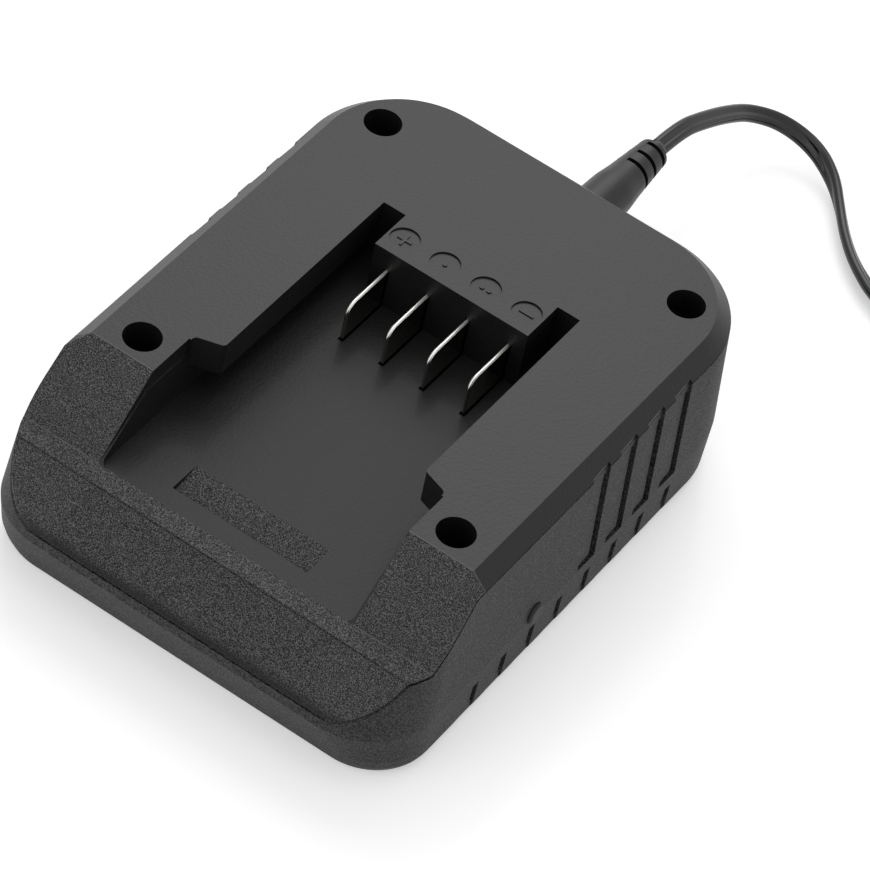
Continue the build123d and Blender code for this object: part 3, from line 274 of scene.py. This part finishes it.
# ---- materials -------------------------------------------------------------------------------
def moulded_abs_cover(settings):
    """ABS, injection moulded: satin plate, spark-eroded grain on ramps, strip and nose; painted
    highlights and shade.
    """
    material, tree, shader = start_material("moulded_abs_cover")
    place = add_node(tree, "ShaderNodeTexCoord").outputs["Object"]
    axes = add_node(tree, "ShaderNodeSeparateXYZ", {0: place}).outputs
    side = add_node(tree, "ShaderNodeMath", {0: axes[0]}, operation="ABSOLUTE").outputs[0]
    # the grained zones, told apart by place: nose and strip, ramps outside the bay, latch pocket
    nose = add_node(tree, "ShaderNodeMath", {0: axes[1], 1: RAMP_FOOT}, operation="LESS_THAN")
    ahead = add_node(tree, "ShaderNodeMath", {0: axes[1], 1: RAMP_TOP}, operation="LESS_THAN")
    outside = add_node(
        tree, "ShaderNodeMath", {0: side, 1: BAY_HALF + BAY_EDGE}, operation="GREATER_THAN")
    ramps = add_node(
        tree, "ShaderNodeMath", {0: ahead.outputs[0], 1: outside.outputs[0]}, operation="MULTIPLY")
    within = add_node(tree, "ShaderNodeMath", {0: side, 1: POCKET_HALF}, operation="LESS_THAN")
    behind = add_node(
        tree, "ShaderNodeMath", {0: axes[1], 1: POCKET_FRONT}, operation="GREATER_THAN")
    before = add_node(tree, "ShaderNodeMath", {0: axes[1], 1: POCKET_BACK}, operation="LESS_THAN")
    pocket = add_node(
        tree, "ShaderNodeMath", {0: behind.outputs[0], 1: before.outputs[0]}, operation="MULTIPLY")
    pocket = add_node(
        tree, "ShaderNodeMath", {0: pocket.outputs[0], 1: within.outputs[0]}, operation="MULTIPLY")
    grained = add_node(
        tree, "ShaderNodeMath", {0: nose.outputs[0], 1: ramps.outputs[0]}, operation="MAXIMUM")
    grained = add_node(
        tree, "ShaderNodeMath", {0: grained.outputs[0], 1: pocket.outputs[0]}, operation="MAXIMUM")
    # a little more matt on the bay's floor, and a painted highlight in a thin line along the ramps'
    # edges
    low = add_node(tree, "ShaderNodeMath", {0: axes[2], 1: BAY_LEVEL}, operation="LESS_THAN")
    floor = add_node(tree, "ShaderNodeMath", {0: side, 1: BAY_HALF}, operation="LESS_THAN")
    floor = add_node(
        tree, "ShaderNodeMath", {0: floor.outputs[0], 1: low.outputs[0]}, operation="MULTIPLY")
    painted_edge_light = []
    for edge in (RAMP_TOP, RAMP_FOOT):
        line = add_node(
            tree, "ShaderNodeMath", {0: axes[1], 1: edge, 2: PAINTED_HIGHLIGHT_HALF}, operation="COMPARE")
        painted_edge_light.append(add_node(
            tree, "ShaderNodeMath", {0: line.outputs[0], 1: outside.outputs[0]},
            operation="MULTIPLY").outputs[0])
    painted_edge_light_mask = add_node(tree, "ShaderNodeMath", {0: painted_edge_light[0], 1: painted_edge_light[1]}, operation="MAXIMUM")
    # grit of the spark-eroded steel, drawn a little coarser than life so that it shows: its bumps,
    # and painted highlights on the facets and painted shade in the pits
    coarse = add_node(
        tree, "ShaderNodeTexNoise",
        {"Vector": place, "Scale": 1 / settings.grain, "Detail": 1.0, "Roughness": 0.6}).outputs[0]
    fine = add_node(
        tree, "ShaderNodeTexNoise",
        {"Vector": place, "Scale": 1 / settings.fine_grain, "Detail": 3.0}).outputs[0]
    height = add_node(
        tree, "ShaderNodeMix", {0: grained.outputs[0], 2: fine, 3: coarse}, data_type="FLOAT")
    depth = add_node(
        tree, "ShaderNodeMapRange", {0: grained.outputs[0], 3: SATIN_DEPTH, 4: SPARK_DEPTH})
    bump = add_node(
        tree, "ShaderNodeBump",
        {"Strength": 1.0, "Distance": depth.outputs[0], "Height": height.outputs[0]})
    tree.links.new(bump.outputs[0], shader.inputs["Normal"])
    # the grained zones scatter more
    rough = add_node(
        tree, "ShaderNodeMapRange",
        {0: grained.outputs[0], 3: SATIN_ROUGHNESS, 4: SPARK_ROUGHNESS})
    rough = add_node(
        tree, "ShaderNodeMath", {0: floor.outputs[0], 1: BAY_ROUGHER, 2: rough.outputs[0]},
        operation="MULTIPLY_ADD")
    tree.links.new(rough.outputs[0], shader.inputs["Roughness"])
    body = linear(settings.colour)
    # painted light in the grain's colour: painted shade in the pits, painted highlights on the
    # facets
    grain_highlight_share = add_node(tree, "ShaderNodeMapRange", {0: coarse, 1: GRAIN_LOW, 2: SPARK_HIGH})
    painted_grain_light = add_node(
        tree, "ShaderNodeMix",
        {0: grain_highlight_share.outputs[0], 6: shade(body, PAINTED_PIT_SHADE), 7: linear(settings.painted_grain_highlight)},
        data_type="RGBA")
    mottle = add_node(
        tree, "ShaderNodeMix",
        {0: fine, 6: shade(body, 1 - MOTTLE), 7: shade(body, 1 + MOTTLE)}, data_type="RGBA")
    # painted shade: towards the rounded lower edge of the nose the grain's colour runs out into a
    # dark tone
    out_of_lip_shade = add_node(
        tree, "ShaderNodeMapRange", {0: axes[2], 1: LIP_LEVEL, 2: LIP_LEVEL + LIP_FADE})
    painted_grain_and_lip_shade = add_node(
        tree, "ShaderNodeMix",
        {0: out_of_lip_shade.outputs[0], 6: shade(body, LIP_PAINTED_SHADE), 7: painted_grain_light.outputs[2]},
        data_type="RGBA")
    tone_with_painted_light = add_node(
        tree, "ShaderNodeMix",
        {0: grained.outputs[0], 6: mottle.outputs[2], 7: painted_grain_and_lip_shade.outputs[2]}, data_type="RGBA")
    # painted highlight in a thin line along the ramps' edges
    tone_with_painted_light = add_node(
        tree, "ShaderNodeMix",
        {0: painted_edge_light_mask.outputs[0], 6: tone_with_painted_light.outputs[2], 7: linear(settings.painted_edge_light)},
        data_type="RGBA")
    tree.links.new(tone_with_painted_light.outputs[2], shader.inputs["Base Color"])
    set_shader(shader, IOR=ABS_IOR, Specular_IOR_Level=COVER_SPECULAR)
    return material


def moulded_abs_housing(settings):
    """ABS, injection moulded in an etched tool: an even fine grain all over, with painted
    highlights on its tips and painted shade in its pits.
    """
    material, tree, shader = start_material("moulded_abs_housing")
    place = add_node(tree, "ShaderNodeTexCoord").outputs["Object"]
    grain = add_node(
        tree, "ShaderNodeTexNoise",
        {"Vector": place, "Scale": 1 / settings.etched_grain, "Detail": 1.0, "Roughness": 0.6})
    bump = add_node(
        tree, "ShaderNodeBump",
        {"Strength": 1.0, "Distance": ETCHED_DEPTH, "Height": grain.outputs[0]})
    tree.links.new(bump.outputs[0], shader.inputs["Normal"])
    body = linear(settings.colour)
    # painted light in the grain's colour: painted shade in the pits, painted highlights on the tips
    tip_highlight_share = add_node(
        tree, "ShaderNodeMapRange", {0: grain.outputs[0], 1: GRAIN_LOW, 2: ETCHED_HIGH})
    tone_with_painted_light = add_node(
        tree, "ShaderNodeMix",
        {0: tip_highlight_share.outputs[0], 6: shade(body, PAINTED_PIT_SHADE), 7: linear(settings.painted_tip_highlight)},
        data_type="RGBA")
    tree.links.new(tone_with_painted_light.outputs[2], shader.inputs["Base Color"])
    set_shader(
        shader, Roughness=ETCHED_ROUGHNESS, IOR=ABS_IOR, Specular_IOR_Level=HOUSING_SPECULAR)
    return material


def plain_plastic(name, colour, roughness, grain, depth, ior=1.5, specular_level=0.5):
    """A moulded or extruded plastic with a light surface grain of that width and depth."""
    material, tree, shader = start_material(name)
    place = add_node(tree, "ShaderNodeTexCoord").outputs["Object"]
    noise = add_node(
        tree, "ShaderNodeTexNoise", {"Vector": place, "Scale": 1 / grain, "Detail": 2.0})
    bump = add_node(
        tree, "ShaderNodeBump", {"Strength": 1.0, "Distance": depth, "Height": noise.outputs[0]})
    tree.links.new(bump.outputs[0], shader.inputs["Normal"])
    set_shader(
        shader, Base_Color=linear(colour), Roughness=roughness, IOR=ior,
        Specular_IOR_Level=specular_level)
    return material


def plain_metal(name, colour, roughness, stretch):
    """A metal with fine marks drawn along one axis, from rolling, turning or plating."""
    material, tree, shader = start_material(name)
    place = add_node(tree, "ShaderNodeTexCoord").outputs["Object"]
    drawn = add_node(tree, "ShaderNodeMapping", {"Vector": place, "Scale": stretch})
    marks = add_node(
        tree, "ShaderNodeTexNoise",
        {"Vector": drawn.outputs[0], "Scale": MARK_SCALE, "Detail": 2.0})
    rough = add_node(
        tree, "ShaderNodeMapRange", {0: marks.outputs[0], 3: roughness * 0.8, 4: roughness * 1.25})
    tree.links.new(rough.outputs[0], shader.inputs["Roughness"])
    bump = add_node(
        tree, "ShaderNodeBump",
        {"Strength": 1.0, "Distance": MARK_DEPTH, "Height": marks.outputs[0]})
    tree.links.new(bump.outputs[0], shader.inputs["Normal"])
    set_shader(shader, Base_Color=linear(colour), Metallic=1.0)
    return material


def nickel_plated_strip():
    """Nickel-plated brass strip, stamped: mirror-smooth rolled faces, rough sheared edges; painted
    highlight on the faces that look up, painted shade on the others.
    """
    material, tree, shader = start_material("nickel_plated_strip")
    coordinates = add_node(tree, "ShaderNodeTexCoord").outputs
    drawn = add_node(
        tree, "ShaderNodeMapping", {"Vector": coordinates["Object"], "Scale": (1, 0.05, 1)})
    marks = add_node(
        tree, "ShaderNodeTexNoise",
        {"Vector": drawn.outputs[0], "Scale": MARK_SCALE, "Detail": 2.0})
    # the sheared edges are the faces that look up; all others are rolled
    upward = add_node(tree, "ShaderNodeSeparateXYZ", {0: coordinates["Normal"]}).outputs[2]
    rolled_and_painted_shade = add_node(tree, "ShaderNodeMapRange", {0: upward, 1: 0.4, 2: 0.1}).outputs[0]
    rough = add_node(
        tree, "ShaderNodeMapRange", {0: rolled_and_painted_shade, 3: SHEARED_ROUGHNESS, 4: ROLLED_ROUGHNESS})
    worn = add_node(
        tree, "ShaderNodeMath", {0: marks.outputs[0], 1: MARK_ROUGHNESS, 2: rough.outputs[0]},
        operation="MULTIPLY_ADD")
    tree.links.new(worn.outputs[0], shader.inputs["Roughness"])
    # painted highlight on the faces that look up, painted shade on the rolled faces at the sides
    tone_with_painted_light = add_node(
        tree, "ShaderNodeMix", {0: rolled_and_painted_shade, 6: linear("#f4f2ee"), 7: linear("#a9a6a0")},
        data_type="RGBA")
    tree.links.new(tone_with_painted_light.outputs[2], shader.inputs["Base Color"])
    set_shader(shader, Metallic=1.0)
    return material


# ---- pieces ----------------------------------------------------------------------------------
class CHARGER_OT_case(bpy.types.Operator):
    """Finish the top cover and the bottom housing"""

    bl_idname = "charger.case"
    bl_label = "Case"

    def execute(self, context):
        settings = context.scene.charger_case
        dress(moulded_abs_cover(settings), "top_cover")
        dress(moulded_abs_housing(settings), "bottom_housing")
        return {"FINISHED"}


class CHARGER_OT_hardware(bpy.types.Operator):
    """Finish the screws, feet, contact blades and their holder"""

    bl_idname = "charger.hardware"
    bl_label = "Screws, feet and contacts"

    def execute(self, context):
        dress(plain_metal("black_oxide_steel", "#2a2a2c", 0.4, (1, 1, 1)), "cover_screws")
        dress(plain_metal("zinc_plated_steel", "#b9b8b0", 0.3, (1, 1, 1)), "board_screws")
        dress(plain_plastic("moulded_rubber", "#1b1b1c", 0.8, 0.0006, 0.00003), "rubber_feet")
        dress(plain_plastic("moulded_nylon", "#1c1c1e", 0.55, 0.0005, 0.00002), "terminal_holder")
        dress(
            nickel_plated_strip(),
            "positive_blade", "charge_blade", "signal_blade", "negative_blade")
        return {"FINISHED"}


class CHARGER_OT_electronics(bpy.types.Operator):
    """Finish the circuit board and the parts on it"""

    bl_idname = "charger.electronics"
    bl_label = "Board and its parts"

    def execute(self, context):
        dress(
            plain_plastic("solder_mask_laminate", "#1f5a36", 0.35, 0.0015, 0.00001),
            "circuit_board")
        dress(plain_metal("extruded_aluminium", "#b6b8ba", 0.38, (1, 1, 0.04)), "heat_sink")
        dress(
            plain_plastic("moulded_epoxy", "#161617", 0.5, 0.0003, 0.00001),
            "power_transistor", "rectifier_diode", "control_chip")
        dress(
            plain_plastic("printed_can_sleeve", "#1b2230", 0.3, 0.001, 0.000005),
            "filter_capacitors")
        dress(plain_plastic("coated_ferrite", "#3c3d40", 0.6, 0.0005, 0.00003), "power_inductor")
        dress(plain_metal("shunt_alloy", "#b08d6e", 0.35, (0.05, 1, 1)), "current_shunt")
        dress(plain_metal("plated_fuse", "#c8c9c6", 0.25, (1, 0.1, 1)), "fuse")
        dress(
            plain_plastic("moulded_jack_nylon", "#19191a", 0.5, 0.0005, 0.00002),
            "dc_jack", "plug_insulator")
        dress(
            plain_metal("nickel_plated_brass", "#cfcdc6", 0.22, (1, 1, 1)),
            "jack_center_pin", "jack_spring_contact", "plug_barrel", "plug_contact")
        return {"FINISHED"}


class CHARGER_OT_lamp(bpy.types.Operator):
    """Finish the indicator lens and the LED behind it"""

    bl_idname = "charger.lamp"
    bl_label = "Indicator lamp"

    def execute(self, context):
        dress(
            plain_plastic("smoked_acrylic", "#161617", 0.5, 0.0006, 0.00002, ACRYLIC_IOR, 0.36),
            "indicator_lens")
        dress(
            plain_plastic("clear_epoxy_resin", "#c9cfcb", 0.1, 0.004, 0.000002, EPOXY_IOR),
            "indicator_led")
        return {"FINISHED"}


class CHARGER_OT_plug(bpy.types.Operator):
    """Finish the plug's grip, the tie and the wall adapter"""

    bl_idname = "charger.plug"
    bl_label = "Plug and wall adapter"

    def execute(self, context):
        dress(
            plain_plastic(
                "overmoulded_vinyl", "#0e0e0e", 0.42, 0.0008, 0.00002, specular_level=0.4),
            "plug_grip", "adapter_relief")
        dress(plain_plastic("plain_vinyl", "#161617", 0.3, 0.002, 0.00001), "coil_tie")
        dress(
            plain_plastic(
                "etched_polycarbonate", "#262628", 0.5, 0.0004, 0.00005, POLYCARBONATE_IOR),
            "adapter_case", "adapter_cover")
        dress(plain_metal("turned_plated_brass", "#cbc9c2", 0.25, (1, 1, 0.1)), "adapter_pins")
        return {"FINISHED"}


LEAD_ROUTE = [  # control points behind the charger: place, and twist in degrees
    (0.0, 0.11105, 0.023, 30),
    (0.0, 0.12055, 0.0222, 30),
    (0.0011, 0.1296, 0.0193, 30),
    (0.0026, 0.1388, 0.0158, 30),
    (0.0048, 0.1470, 0.0121, 30),
    (0.0111, 0.1530, 0.0088, 30),
    (0.0202, 0.1537, 0.0062, 40),
    (0.0279, 0.1500, 0.0040, 75),
    (0.0340, 0.1436, 0.0029, 108),
    (0.0397, 0.1366, 0.0027, 116),
    (0.0464, 0.1303, 0.0027, 130),
    (0.0560, 0.1244, 0.0028, 155),
    (0.06648, 0.12314, 0.0030, 180),
    (0.07509, 0.12716, 0.0030, 180),
]


def lead_points(settings):
    """The whole route: the free stretch, the coil's turns, and the tail to the adapter."""
    points = list(LEAD_ROUTE)
    pitch = settings.width
    inner, middle, outer = (settings.coil_middle / 2 + side * pitch for side in (-1, 0, 1))
    rows = ([outer, middle, inner], [inner, middle, outer], [outer, middle, inner],
            [inner, outer, middle])  # the lead leaves the coil from the middle of its top row
    slots = []
    for level, row in enumerate(rows):
        slots += [(radius, COIL_LEVEL + level * pitch) for radius in row]
    start = math.radians(ENTRY_HEADING + 90)
    turn = 2 * math.pi
    total = turn * (len(slots) - 1) + math.radians(ENTRY_HEADING - EXIT_HEADING)
    steps = round(total / turn * settings.coil_points)
    for step in range(steps + 1):
        angle = total * step / steps
        place, within = divmod(angle, turn)
        now = slots[int(place)]
        after = slots[min(int(place) + 1, len(slots) - 1)]
        share = ease(max(0.0, (within - (turn - SHIFT_RUN)) / SHIFT_RUN))
        radius = now[0] + (after[0] - now[0]) * share
        level = now[1] + (after[1] - now[1]) * share
        level += settings.thickness * ease(max(0.0, 1 - (total - angle) / HUMP_RUN))
        way = start - angle
        points.append(
            (COIL_HUB[0] + radius * math.cos(way), COIL_HUB[1] + radius * math.sin(way),
             level, COIL_TWIST))
    last = points[-1]
    heading = math.radians(EXIT_HEADING)
    # it passes over the outermost turn, and ends inside the adapter's strain relief
    for along, rise in TAIL:
        points.append(
            (last[0] + along * TAIL_LENGTH * math.cos(heading),
             last[1] + along * TAIL_LENGTH * math.sin(heading),
             TAIL_LEVEL + settings.thickness * rise, COIL_TWIST))
    return points


def twin_profile(settings):
    """Hidden section of the lead: two round cores with a web between them."""
    core = settings.thickness / 2
    offset = settings.width / 2 - core
    curve = bpy.data.curves.new("twin_lead_section", "CURVE")
    curve.dimensions = "2D"
    spline = curve.splines.new("POLY")
    outline = []
    reach, steps = 132.0, 6  # each core's arc, in degrees to either side, and its points
    for side in (1, -1):
        for step in range(-steps, steps + 1):
            way = math.radians(step * reach / steps)
            outline.append((side * (offset + core * math.cos(way)), side * core * math.sin(way)))
    spline.points.add(len(outline) - 1)
    for point, (x, y) in zip(spline.points, outline):
        point.co = (x, y, 0, 1)
    spline.use_cyclic_u = True
    section = bpy.data.objects.new("twin_lead_section", curve)
    bpy.context.scene.collection.objects.link(section)
    section.hide_render = True
    section.hide_viewport = True
    return section


class CHARGER_OT_lead(bpy.types.Operator):
    """Lay the flat twin lead from the plug to the wall adapter"""

    bl_idname = "charger.lead"
    bl_label = "Lead"

    def execute(self, context):
        settings = context.scene.charger_lead
        points = lead_points(settings)
        curve = bpy.data.curves.new("twin_lead", "CURVE")
        curve.dimensions = "3D"
        curve.twist_mode = "Z_UP"
        spline = curve.splines.new("NURBS")
        spline.points.add(len(points) - 1)
        for number, (point, (x, y, z, twist)) in enumerate(zip(spline.points, points)):
            point.co = (x, y, z, 1)
            point.tilt = math.radians(twist)
            point.radius = FREE_WIDTH if number < len(LEAD_ROUTE) - 2 else 1.0
        spline.order_u = 3
        spline.use_endpoint_u = True
        spline.resolution_u = 8
        curve.bevel_mode = "OBJECT"
        curve.bevel_object = twin_profile(settings)
        curve.use_fill_caps = True
        lead = bpy.data.objects.new("twin_lead", curve)
        context.scene.collection.objects.link(lead)
        lead.data.materials.append(
            plain_plastic(
                "extruded_vinyl", settings.colour, 0.16, 0.0015, 0.00001, VINYL_IOR, 0.4))
        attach(lead, body_of("lead_cord"))
        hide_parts("lead_cord", "lead_coil")
        return {"FINISHED"}


# ---- stage -----------------------------------------------------------------------------------
class CHARGER_OT_stage(bpy.types.Operator):
    """Set the floor, the lamps, the surroundings and the camera"""

    bl_idname = "charger.stage"
    bl_label = "Stage"

    def execute(self, context):
        settings = context.scene.charger_stage
        scene = context.scene
        # floor: pale paper that shows near white and keeps the object's shadow
        mesh = bpy.data.meshes.new("floor")
        corners = ((-1, -1), (1, -1), (1, 1), (-1, 1))
        mesh.from_pydata(
            [(x * FLOOR_HALF, y * FLOOR_HALF, 0) for x, y in corners], [], [(0, 1, 2, 3)])
        floor = bpy.data.objects.new("floor", mesh)
        scene.collection.objects.link(floor)
        floor.location.z = -FLOOR_DROP
        material = bpy.data.materials.new("matt_paper")
        material.use_nodes = True
        tree = material.node_tree
        tree.nodes.clear()
        paper = add_node(
            tree, "ShaderNodeBsdfDiffuse", {"Color": linear(settings.floor_colour)})
        glow = add_node(tree, "ShaderNodeEmission", {"Color": (1, 1, 1, 1), "Strength": FLOOR_GLOW})
        both = add_node(tree, "ShaderNodeAddShader", {0: paper.outputs[0], 1: glow.outputs[0]})
        shown = add_node(
            tree, "ShaderNodeMixShader",
            {0: white_rays(tree), 1: paper.outputs[0], 2: both.outputs[0]})
        add_node(tree, "ShaderNodeOutputMaterial", {"Surface": shown.outputs[0]})
        mesh.materials.append(material)

        # surroundings: a white tent, plain light on the object and white behind it
        world = bpy.data.worlds.new("white_tent")
        scene.world = world
        world.use_nodes = True
        tree = world.node_tree
        tree.nodes.clear()
        light = add_node(
            tree, "ShaderNodeBackground", {"Color": (1, 1, 1, 1), "Strength": AMBIENT})
        white = add_node(tree, "ShaderNodeBackground", {"Color": (1, 1, 1, 1), "Strength": 1.0})
        shown = add_node(
            tree, "ShaderNodeMixShader",
            {0: white_rays(tree), 1: light.outputs[0], 2: white.outputs[0]})
        add_node(tree, "ShaderNodeOutputWorld", {"Surface": shown.outputs[0]})

        # lamps: a large softbox high behind the object, with a small bulb at its middle for
        # crisper highlights, and weaker softboxes overhead and in front
        for name, place, size, power in (
            ("softbox_back", (-0.36, 0.76, 0.88), 0.9, settings.key_power),
            ("bulb_back", (-0.36, 0.76, 0.88), 0.12, settings.key_power * 0.15),
            ("softbox_top", (0.1, -0.1, 1.2), 0.7, settings.key_power * 0.22),
            ("softbox_front", (-0.45, -1.0, 0.62), 0.7, settings.key_power * 0.35),
        ):
            lamp = bpy.data.lights.new(name, "AREA")
            lamp.shape = "SQUARE"
            lamp.size = size
            lamp.energy = power
            holder = bpy.data.objects.new(name, lamp)
            scene.collection.objects.link(holder)
            holder.location = place
            holder.rotation_mode = "QUATERNION"
            aim = Vector(LAMP_AIM) - Vector(place)
            holder.rotation_quaternion = aim.to_track_quat("-Z", "Y")

        # camera
        camera = bpy.data.cameras.new("camera")
        camera.sensor_width = SENSOR
        camera.lens = settings.lens
        stand = bpy.data.objects.new("camera", camera)
        scene.collection.objects.link(stand)
        turn = Matrix(CAMERA_TURN).to_4x4()
        stand.matrix_world = Matrix.Translation(Vector(settings.location)) @ turn
        scene.camera = stand
        scene.view_settings.view_transform = "Standard"
        return {"FINISHED"}


class CHARGER_PT_panel(bpy.types.Panel):
    """The charger's pieces, in the order in which they are made"""

    bl_idname = "CHARGER_PT_panel"
    bl_label = "Battery charger"
    bl_space_type = "VIEW_3D"
    bl_region_type = "UI"
    bl_category = "Charger"

    def draw(self, context):
        for group in ("charger_case", "charger_lead", "charger_stage"):
            box = self.layout.box()
            settings = getattr(context.scene, group)
            for name in settings.__annotations__:
                box.prop(settings, name)
        for operator in OPERATORS:
            self.layout.operator(operator.bl_idname)


SETTINGS = {
    "charger_case": ChargerCaseSettings,
    "charger_lead": ChargerLeadSettings,
    "charger_stage": ChargerStageSettings,
}
OPERATORS = (
    CHARGER_OT_stage,
    CHARGER_OT_lead,
    CHARGER_OT_case,
    CHARGER_OT_hardware,
    CHARGER_OT_electronics,
    CHARGER_OT_lamp,
    CHARGER_OT_plug,
)


def register():
    for name, group in SETTINGS.items():
        bpy.utils.register_class(group)
        setattr(bpy.types.Scene, name, PointerProperty(type=group))
    for operator in OPERATORS:
        bpy.utils.register_class(operator)
    bpy.utils.register_class(CHARGER_PT_panel)


def unregister():
    bpy.utils.unregister_class(CHARGER_PT_panel)
    for operator in reversed(OPERATORS):
        bpy.utils.unregister_class(operator)
    for name, group in reversed(SETTINGS.items()):
        delattr(bpy.types.Scene, name)
        bpy.utils.unregister_class(group)


def main():
    register()
    for operator in OPERATORS:
        family, name = operator.bl_idname.split(".")
        getattr(getattr(bpy.ops, family), name)()


if __name__ == "__main__":
    main()
